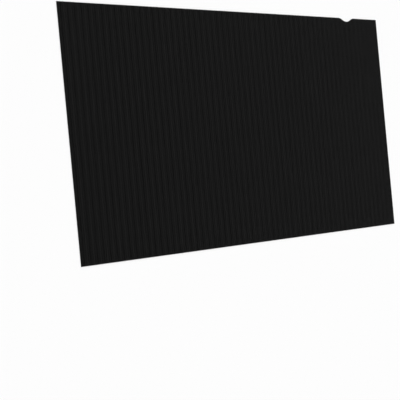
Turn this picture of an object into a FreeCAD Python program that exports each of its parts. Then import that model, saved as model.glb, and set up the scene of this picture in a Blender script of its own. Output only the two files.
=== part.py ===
# A privacy filter in the 24 inch wide size: one thin dark sheet with a thumb notch in its top edge.
#
# Lengths are in millimetres. The sheet lies on its back, with the back face on Z = 0 and the front facing +Z.
# X runs along its width and Y up its height, with the origin in the middle of the back face. So the top edge
# is at +Y, and the notch in it is near the +X corner.

import FreeCAD
import Part
import Sketcher

import os

NODE = "filter_sheet"

# Driving dimensions: name, value, what it measures
SIZES = (
    ("sheet_width", 531.0, "width of the sheet, cut to the 24 inch 16:9 size"),
    ("sheet_height", 299.0, "height of the sheet, cut to the same size"),
    ("sheet_thickness", 0.5, "thickness of the laminate"),
    ("corner_radius", 0.5, "radius of the four corners, which look square"),
    ("notch_inset", 62.5, "from the right edge of the sheet to the middle of the thumb notch"),
    ("notch_depth", 4.9, "depth of the notch below the top edge"),
    ("notch_radius", 14.5, "radius of the round bottom of the notch, about that of a thumb"),
    ("shoulder_radius", 12.5, "radius that leads from the top edge down into the notch"),
    ("rim_radius", 0.08, "softening of the cut edge where it meets the front and the back"),
)

# Two lengths closer than this are the same
SAME = 1e-6


def make_size_table(doc):
    """The driving dimensions as named cells, which the sketches and features below are bound to."""
    sizes = doc.addObject("Spreadsheet::Sheet", "sizes")
    for row, (name, value, meaning) in enumerate(SIZES, start=1):
        sizes.set(f"A{row}", meaning)
        sizes.set(f"B{row}", str(value))
        sizes.setAlias(f"B{row}", name)
    doc.recompute()
    return sizes


def sketch_on_back_plane(body, name):
    """An empty sketch on the body's own XY plane, where the back face of the sheet lies."""
    plane = next(item for item in body.Origin.OriginFeatures if item.Role == "XY_Plane")
    sketch = body.newObject("Sketcher::SketchObject", name)
    sketch.AttachmentSupport = (plane, [""])
    sketch.MapMode = "FlatFace"
    return sketch


def bind(sketch, constraint, name, formula):
    """Adds a dimension to a sketch under a name, and ties it to a formula in the named sizes."""
    index = sketch.addConstraint(constraint)
    sketch.renameConstraint(index, name)
    sketch.setExpression(f"Constraints.{name}", formula)


def draw_rectangle(sketch, sizes):
    """The plain outline: a rectangle about the origin, drawn anticlockwise from its lower left corner."""
    x = sizes.sheet_width / 2
    y = sizes.sheet_height / 2
    corners = [FreeCAD.Vector(*place) for place in ((-x, -y), (x, -y), (x, y), (-x, y))]
    bottom, right, top, left = (
        sketch.addGeometry(Part.LineSegment(start, end), False)
        for start, end in zip(corners, corners[1:] + corners[:1])
    )
    for side, following in ((bottom, right), (right, top), (top, left), (left, bottom)):
        sketch.addConstraint(Sketcher.Constraint("Coincident", side, 2, following, 1))
    for side in (bottom, top):
        sketch.addConstraint(Sketcher.Constraint("Horizontal", side))
    for side in (right, left):
        sketch.addConstraint(Sketcher.Constraint("Vertical", side))
    origin = (-1, 1)
    sketch.addConstraint(Sketcher.Constraint("Symmetric", bottom, 1, top, 1, *origin))
    bind(sketch, Sketcher.Constraint("DistanceX", bottom, 1, bottom, 2, 2 * x), "width", "sizes.sheet_width")
    bind(sketch, Sketcher.Constraint("DistanceY", right, 1, right, 2, 2 * y), "height", "sizes.sheet_height")


def draw_notch_circle(sketch, sizes):
    """The round cutter of the thumb notch, whose lowest point is the notch's depth below the top edge."""
    x = sizes.sheet_width / 2 - sizes.notch_inset
    y = sizes.sheet_height / 2 - sizes.notch_depth + sizes.notch_radius
    upwards = FreeCAD.Vector(0, 0, 1)
    circle = sketch.addGeometry(Part.Circle(FreeCAD.Vector(x, y), upwards, sizes.notch_radius), False)
    origin_and_centre = (-1, 1, circle, 3)
    bind(sketch, Sketcher.Constraint("Radius", circle, sizes.notch_radius), "radius", "sizes.notch_radius")
    bind(
        sketch,
        Sketcher.Constraint("DistanceX", *origin_and_centre, x),
        "across",
        "sizes.sheet_width / 2 - sizes.notch_inset",
    )
    bind(
        sketch,
        Sketcher.Constraint("DistanceY", *origin_and_centre, y),
        "up",
        "sizes.sheet_height / 2 - sizes.notch_depth + sizes.notch_radius",
    )


def upright_edges(shape, wanted):
    """Names of the edges that run straight through the thickness, at the places that wanted(x) picks."""
    names = []
    for number, edge in enumerate(shape.Edges, start=1):
        box = edge.BoundBox
        if max(box.XLength, box.YLength) < SAME and wanted(box.Center.x):
            names.append(f"Edge{number}")
    return names


def rim_edges(shape):
    """Names of the edges that lie in the front face or the back face, all round the outline."""
    return [
        f"Edge{number}"
        for number, edge in enumerate(shape.Edges, start=1)
        if edge.BoundBox.ZLength < SAME
    ]


def round_edges(body, name, base, edges, radius):
    """Rounds the named edges of the feature before, with a radius that is one of the named sizes."""
    rounding = body.newObject("PartDesign::Fillet", name)
    rounding.Base = (base, edges)
    rounding.setExpression("Radius", f"sizes.{radius}")
    body.Document.recompute()
    return rounding


def make_filter_sheet(doc, sizes):
    """The sheet: a flat blank, the notch cut out of its top edge, then its corners and rims rounded."""
    body = doc.addObject("PartDesign::Body", NODE)
    body.Label = NODE

    outline = sketch_on_back_plane(body, "blank_outline")
    draw_rectangle(outline, sizes)
    blank = body.newObject("PartDesign::Pad", "blank")
    blank.Profile = outline
    blank.setExpression("Length", "sizes.sheet_thickness")
    doc.recompute()

    circle = sketch_on_back_plane(body, "notch_circle")
    draw_notch_circle(circle, sizes)
    notch = body.newObject("PartDesign::Pocket", "thumb_notch")
    notch.Profile = circle
    notch.Type = "ThroughAll"
    # The cut starts in the back face, so it goes up through the sheet
    notch.Reversed = True
    doc.recompute()
    if notch.Shape.Volume > blank.Shape.Volume - SAME:
        raise RuntimeError("the thumb notch takes nothing out of the sheet")

    side = sizes.sheet_width / 2
    shoulder_edges = upright_edges(notch.Shape, lambda x: abs(x) < side - SAME)
    shoulders = round_edges(body, "notch_shoulders", notch, shoulder_edges, "shoulder_radius")
    corner_edges = upright_edges(shoulders.Shape, lambda x: abs(x) > side - SAME)
    corners = round_edges(body, "corners", shoulders, corner_edges, "corner_radius")
    round_edges(body, "softened_rims", corners, rim_edges(corners.Shape), "rim_radius")
    return body


def check(doc, pieces):
    """Stops if any object failed to build, or if a piece is empty or not a sound solid."""
    failed = [item.Label for item in doc.Objects if {"Invalid", "Error"} & set(item.State)]
    unsound = [
        piece.Label
        for piece in pieces
        if piece.Shape.isNull() or not piece.Shape.isValid() or len(piece.Shape.Solids) != 1
    ]
    if failed or unsound:
        raise RuntimeError(f"failed: {failed}, unsound: {unsound}")


doc = FreeCAD.newDocument("privacy_filter")
pieces = [make_filter_sheet(doc, make_size_table(doc))]
doc.recompute()
check(doc, pieces)

os.makedirs("parts", exist_ok=True)
for piece in pieces:
    box = piece.Shape.optimalBoundingBox(False, False)
    piece.Shape.exportStep(f"parts/{piece.Label}.step")
    print(
        f"{piece.Label}: {box.XLength:.2f} x {box.YLength:.2f} x {box.ZLength:.2f} mm,"
        f" {piece.Shape.Volume / 1000:.2f} cm3, {len(piece.Shape.Faces)} faces"
    )
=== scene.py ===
# %% [markdown]
# A privacy filter on a pale table, finished in Blender.
#
# The object is one thin sheet of dark film, die-cut to a rectangle, with a shallow thumb notch in its top
# edge. Fine upright louvres inside the film let light through straight ahead and stop it to the sides, so
# from an angle the sheet looks black.
#
# The CAD frame holds the sheet at its true size, with the notch, the corners and the softened rims already
# cut, so no shape of it is made here. This lesson adds what the eye sees: where the camera stands, what the
# sheet lies on, how it is lit, and the finish of the film.

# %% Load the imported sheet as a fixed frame
import math

import bmesh
import bpy
from mathutils import Matrix, Vector


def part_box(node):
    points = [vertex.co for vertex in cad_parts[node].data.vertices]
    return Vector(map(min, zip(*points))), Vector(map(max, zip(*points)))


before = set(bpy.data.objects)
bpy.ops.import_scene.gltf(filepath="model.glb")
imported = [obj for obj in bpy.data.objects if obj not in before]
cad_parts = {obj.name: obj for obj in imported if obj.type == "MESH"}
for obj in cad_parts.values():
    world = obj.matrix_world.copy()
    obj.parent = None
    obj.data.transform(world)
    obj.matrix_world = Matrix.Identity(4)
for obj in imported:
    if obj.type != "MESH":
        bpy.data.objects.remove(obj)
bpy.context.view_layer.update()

MM = 0.001

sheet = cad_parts["filter_sheet"]
back, front = (corner.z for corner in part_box("filter_sheet"))
print("triangles in the sheet:", len(sheet.data.polygons))

# %% [markdown]
# The photograph looks at the sheet from its left, some 40 degrees away from straight on, with the notched
# edge at the top of the picture. A loose film can't stand, so here it lies on its back, and the same view
# looks down on it. A lens of about 85 mm, from a little over a metre away, gives the gentle perspective.
#
# A Track To constraint could aim the camera, but it keeps the world's upright in the picture, and for a
# sheet on a table that turns the top edge away. So the camera's axes are worked out from three things:
# where it stands, the point it looks at, and how far it is rolled from the sheet's own upright, which is
# +Y. A camera looks along its own -Z, with +X to its right and +Y up, so these directions make its matrix.

# %% Put the camera at the photograph's viewing angle
CAMERA_PLACE = Vector((-805.7, -82.5, 924.6)) * MM
AIM_POINT = Vector((-88.7, -87.6, 0.0)) * MM
ROLL = math.radians(5.34)
LENS = 85.3
SHEET_UPRIGHT = Vector((0, 1, 0))

ahead = (AIM_POINT - CAMERA_PLACE).normalized()
level = ahead.cross(SHEET_UPRIGHT).normalized()
right = Matrix.Rotation(ROLL, 3, ahead) @ level
axes = Matrix((right, right.cross(ahead), -ahead)).transposed()

camera = bpy.data.objects.new("camera", bpy.data.cameras.new("camera"))
camera.data.lens = LENS
camera.matrix_world = Matrix.Translation(CAMERA_PLACE) @ axes.to_4x4()
bpy.context.scene.collection.objects.link(camera)
bpy.context.scene.camera = camera
print("camera to the middle of the sheet, m:", round(CAMERA_PLACE.length, 3))
print("camera looks down by, degrees:", round(math.degrees(math.asin(-ahead.z)), 1))

# %% [markdown]
# A colour is chosen as an sRGB hex value, but a shader adds up light, which is linear, so one
# function turns the one into the other.
#
# A second function adds a node. It sets the node's options by name and then its inputs: an input that is
# given another node's output is linked to it, and any other value is typed into the input. A third gives a
# material with an empty node tree, so that each node in it is one that this lesson put there.

# %% Make the helpers for colours and nodes
def linear(hex_colour):
    """An sRGB colour such as #1a2b3c as linear red, green and blue, with an alpha of 1."""
    levels = [int(hex_colour[start : start + 2], 16) / 255 for start in (1, 3, 5)]
    return [v / 12.92 if v <= 0.04045 else ((v + 0.055) / 1.055) ** 2.4 for v in levels] + [1.0]


def add_node(tree, kind, inputs=None, **options):
    """Adds a node, sets its options, and links or sets its inputs."""
    node = tree.nodes.new(kind)
    for name, value in options.items():
        setattr(node, name, value)
    for name, value in (inputs or {}).items():
        if isinstance(value, bpy.types.NodeSocket):
            tree.links.new(value, node.inputs[name])
        else:
            node.inputs[name].default_value = value
    return node


def empty_material(name):
    """A new material whose node tree is empty."""
    material = bpy.data.materials.new(name)
    material.use_nodes = True
    material.node_tree.nodes.clear()
    return material


print("half-way grey #808080 in linear light:", round(linear("#808080")[0], 3))

# %% [markdown]
# The sheet lies on a plain pale table top, a matt laminate, which scatters light evenly and has no gloss to
# speak of. A modelled table would add nothing, since only its colour and the light on it are seen, so one
# large quad is enough. It reaches so far that a low view meets no edge.
#
# The quad lies a hair below the sheet. With both at the same height, Blender couldn't tell which is in
# front, and the underside of the sheet would speckle.

# %% Make the table top
TABLE_HALF = 20.0
TABLE_GAP = 0.05 * MM
TABLE_WHITE = "#fdfdfd"

mesh = bpy.data.meshes.new("table_top")
quad = bmesh.new()
bmesh.ops.create_grid(quad, x_segments=1, y_segments=1, size=TABLE_HALF)
bmesh.ops.translate(quad, verts=quad.verts, vec=(0, 0, back - TABLE_GAP))
quad.to_mesh(mesh)
quad.free()

laminate = empty_material("matt white laminate")
matt = add_node(laminate.node_tree, "ShaderNodeBsdfDiffuse", {"Color": linear(TABLE_WHITE)})
add_node(laminate.node_tree, "ShaderNodeOutputMaterial", {"Surface": matt.outputs["BSDF"]})
mesh.materials.append(laminate)

table_top = bpy.data.objects.new("table_top", mesh)
bpy.context.scene.collection.objects.link(table_top)
print("table top, m:", 2 * TABLE_HALF, "square")

# %% [markdown]
# A dark satin sheet shows the room in it as much as its own colour, so the room has to be plain. A
# photographer puts such a thing in a light tent, which is white all round. Here the world stands in for the
# tent, and gives over half of the light, from every side.
#
# On its own, a world at that level looks like a grey wall behind the table, and a brighter one would put
# more light on the sheet. Light Path tells the two uses apart. The camera and the reflections see a world
# as white as the table, so a low view has no horizon, and what the world sheds on the table and the sheet
# stays as it was. The Standard view transform shows each colour as it was written.

# %% Put up the light tent
WORLD_SHARE = 0.55

world = bpy.data.worlds.new("light tent")
world.use_nodes = True
tent = world.node_tree
tent.nodes.clear()
rays = add_node(tent, "ShaderNodeLightPath").outputs
in_gloss_or_glass = add_node(
    tent,
    "ShaderNodeMath",
    {0: rays["Is Glossy Ray"], 1: rays["Is Transmission Ray"]},
    operation="MAXIMUM",
).outputs["Value"]
in_view = add_node(
    tent,
    "ShaderNodeMath",
    {0: rays["Is Camera Ray"], 1: in_gloss_or_glass},
    operation="MAXIMUM",
).outputs["Value"]
strength = add_node(
    tent,
    "ShaderNodeMix",
    {"Factor": in_view, "A": WORLD_SHARE, "B": linear(TABLE_WHITE)[0]},
).outputs["Result"]
wall = add_node(tent, "ShaderNodeBackground", {"Color": (1, 1, 1, 1), "Strength": strength})
add_node(tent, "ShaderNodeOutputWorld", {"Surface": wall.outputs["Background"]})

bpy.context.scene.world = world
bpy.context.scene.view_settings.view_transform = "Standard"
print("light from the tent:", WORLD_SHARE, "and its walls look", TABLE_WHITE)

# %% [markdown]
# The rest of the light comes from two wide suns, which give it a direction. Lamps on stands would light the
# sheet as well, but leave the far end of the table grey. The suns shine from behind the camera and from
# beyond the top edge, and not from the right of the sheet, where it would mirror them into the picture.
#
# The shares of the tent and the suns add up to one, so that a colour comes out about as it is written. A
# sun that strikes the table at a slant brings it less light, by the cosine of the slant, so its strength is
# its share times pi, divided by that cosine.

# %% Add two suns
SUN_WIDTH = math.radians(40)
SUNS = (
    ("sun behind the camera", Vector((-0.4, -0.6, 0.9)), 0.26),
    ("sun beyond the top edge", Vector((0.3, 0.8, 0.8)), 0.19),
)

for name, towards, share in SUNS:
    sun = bpy.data.objects.new(name, bpy.data.lights.new(name, "SUN"))
    sun.data.angle = SUN_WIDTH
    sun.data.energy = share * math.pi / towards.normalized().z
    sun.rotation_euler = (-towards).to_track_quat("-Z", "Y").to_euler()
    bpy.context.scene.collection.objects.link(sun)
    print(f"{name}: a share of {share} takes a strength of {sun.data.energy:.2f}")

# %% [markdown]
# The sheet is a laminate, a black louvre film between two polyester skins. Its front has a matt anti-glare
# coat, its back is left glossier, and the die leaves a dull edge all round.
#
# Three materials on three groups of faces could show that, but the CAD mesh is left as it is, so one
# material finds the three regions for itself. The sheet lies flat, so height tells them apart: the front is
# the top of the sheet, the back is its underside, and what is between the two is cut edge.

# %% Find the front, the back and the cut edge
RIM = 0.08 * MM

film = empty_material("anti-glare coated louvre film")
tree = film.node_tree
where = add_node(tree, "ShaderNodeTexCoord").outputs["Object"]
height = add_node(tree, "ShaderNodeSeparateXYZ", {"Vector": where}).outputs["Z"]

region = {}
for name, start, end in (("front", front - RIM, front - RIM / 2), ("back", back + RIM, back + RIM / 2)):
    limits = {"Value": height, "From Min": start, "From Max": end}
    region[name] = add_node(tree, "ShaderNodeMapRange", limits).outputs["Result"]
print("back and front, mm:", round(back / MM, 2), round(front / MM, 2))

# %% [markdown]
# Louvre film is made from a block of black and clear layers, pressed together and shaved into sheets across
# the layers. The black ones are the louvres, upright on the sheet and a tenth of a millimetre apart.
#
# Strips of mesh could stand for them, but thousands of strips would only shimmer. A Wave texture gives
# regular lines at no such cost. At scale 1 it repeats every 2 pi / 20 metres, so the scale that it needs is
# that length divided by the pitch.
#
# Lines as fine as the real ones would blend into one grey, so they are drawn coarser, and show close to. A
# second wave, three times as wide, makes every third line paler, which leaves a trace of them in the whole
# picture.

# %% Draw the louvre lines
# A pitch of 0.1 mm is too fine to show, so the lines are drawn thirty times coarser
LOUVRE_PITCH = 30 * 0.1 * MM
THIRD_SHARE = 0.4
WAVE_LENGTH = 2 * math.pi / 20

wave = {}
for name, pitch in (("every line", LOUVRE_PITCH), ("every third line", 3 * LOUVRE_PITCH)):
    inputs = {"Vector": where, "Scale": WAVE_LENGTH / pitch}
    wave[name] = add_node(tree, "ShaderNodeTexWave", inputs, bands_direction="X").outputs["Fac"]
lines = add_node(
    tree,
    "ShaderNodeMix",
    {"Factor": THIRD_SHARE, "A": wave["every line"], "B": wave["every third line"]},
).outputs["Result"]

# %% [markdown]
# The blade that shaves the film drags a little, and leaves long faint streaks along the louvres. Without
# them the lines would look ruled.
#
# Bending the lines with the wave's own distortion would make them wander, and louvres are straight. So the
# streaks are noise, mixed in thinly. A noise texture has spots about as wide as they are high, and a
# Mapping node stretches them along the sheet's height.

# %% Streak the lines
STREAK_WIDTH = 7.0 * MM
STREAK_LENGTH = 260.0 * MM
LINE_SHARE = 0.85

stretched = add_node(
    tree,
    "ShaderNodeMapping",
    {"Vector": where, "Scale": (1 / STREAK_WIDTH, 1 / STREAK_LENGTH, 1)},
).outputs["Vector"]
streaks = add_node(
    tree,
    "ShaderNodeTexNoise",
    {"Vector": stretched, "Scale": 1, "Detail": 2},
).outputs["Fac"]
grain = add_node(
    tree,
    "ShaderNodeMix",
    {"Factor": LINE_SHARE, "A": streaks, "B": lines},
).outputs["Result"]
print("streaks, mm:", round(STREAK_WIDTH / MM), "wide and", round(STREAK_LENGTH / MM), "long")

# %% [markdown]
# Seen from an angle, the louvres make the film a neutral black, and the clear layers between them come out
# a little paler. The cut edge shows the skins end-on, so it is a dull dark grey.
#
# One flat colour would look like painted card. Mixing two blacks by the grain keeps the sheet black, and
# gives it the upright lines of louvre film: a trace of them from afar, and plain ones close to.

# %% Colour the faces and the edge
FILM_BLACK = "#080808"
FILM_GRAIN = "#1c1c1c"
EDGE_GREY = "#1d1d1e"

face_colour = add_node(
    tree,
    "ShaderNodeMix",
    {"Factor": grain, "A": linear(FILM_BLACK), "B": linear(FILM_GRAIN)},
    data_type="RGBA",
).outputs["Result"]
on_face = add_node(
    tree,
    "ShaderNodeMath",
    {0: region["front"], 1: region["back"]},
    operation="MAXIMUM",
).outputs["Value"]
colour = add_node(
    tree,
    "ShaderNodeMix",
    {"Factor": on_face, "A": linear(EDGE_GREY), "B": face_colour},
    data_type="RGBA",
).outputs["Result"]
print("faces from", FILM_BLACK, "to", FILM_GRAIN, "and edge", EDGE_GREY)

# %% [markdown]
# The anti-glare coat holds silica grains of a few hundredths of a millimetre. They roughen the front, so
# that a light leaves a broad soft sheen on it and no image.
#
# One noise texture drives both of their effects: how rough each spot is, and the low hills that bump
# mapping feigns on the front. Real hills would take millions of faces and show no better. The back and the
# edge have no coat, so each has one roughness all over.

# %% Roughen the front, the back and the edge
# Silica of 0.03 mm is too fine to show, so it is drawn twenty times coarser
SILICA_SIZE = 20 * 0.03 * MM
SILICA_HEIGHT = 0.003 * MM
FRONT_ROUGHNESS = (0.38, 0.50)
BACK_ROUGHNESS = 0.24
EDGE_ROUGHNESS = 0.60

silica = add_node(
    tree,
    "ShaderNodeTexNoise",
    {"Vector": where, "Scale": 1 / SILICA_SIZE, "Detail": 1},
).outputs["Fac"]
coat_roughness = add_node(
    tree,
    "ShaderNodeMapRange",
    {"Value": silica, "To Min": FRONT_ROUGHNESS[0], "To Max": FRONT_ROUGHNESS[1]},
).outputs["Result"]
front_or_edge = add_node(
    tree,
    "ShaderNodeMix",
    {"Factor": region["front"], "A": EDGE_ROUGHNESS, "B": coat_roughness},
).outputs["Result"]
roughness = add_node(
    tree,
    "ShaderNodeMix",
    {"Factor": region["back"], "A": front_or_edge, "B": BACK_ROUGHNESS},
).outputs["Result"]
hills = add_node(
    tree,
    "ShaderNodeMath",
    {0: silica, 1: region["front"]},
    operation="MULTIPLY",
).outputs["Value"]
bumps = add_node(tree, "ShaderNodeBump", {"Height": hills, "Distance": SILICA_HEIGHT}).outputs["Normal"]
print("roughness of front, back, edge:", FRONT_ROUGHNESS, BACK_ROUGHNESS, EDGE_ROUGHNESS)

# %% [markdown]
# One Principled shader brings it together. Polyester has an index of refraction of 1.57 and would reflect a
# twentieth of the room. The coat takes most of that away, so the specular level is far below its usual 0.5.
#
# Seen from an angle, about a hundredth of the light gets through the louvres. Refraction and absorption
# could give that, but alpha renders with less noise and carries over to other programs. A ray passes two
# faces, and each lets a tenth of the light through, which makes the hundredth.

# %% Finish the film and put it on the sheet
POLYESTER_IOR = 1.57
COATED_SPECULAR = 0.02
FACE_ALPHA = 0.9

shader = add_node(
    tree,
    "ShaderNodeBsdfPrincipled",
    {
        "Base Color": colour,
        "Roughness": roughness,
        "Normal": bumps,
        "IOR": POLYESTER_IOR,
        "Specular IOR Level": COATED_SPECULAR,
        "Alpha": FACE_ALPHA,
    },
)
add_node(tree, "ShaderNodeOutputMaterial", {"Surface": shader.outputs["BSDF"]})
for slot in sheet.material_slots:
    slot.material = film
print("nodes in the film:", len(tree.nodes))
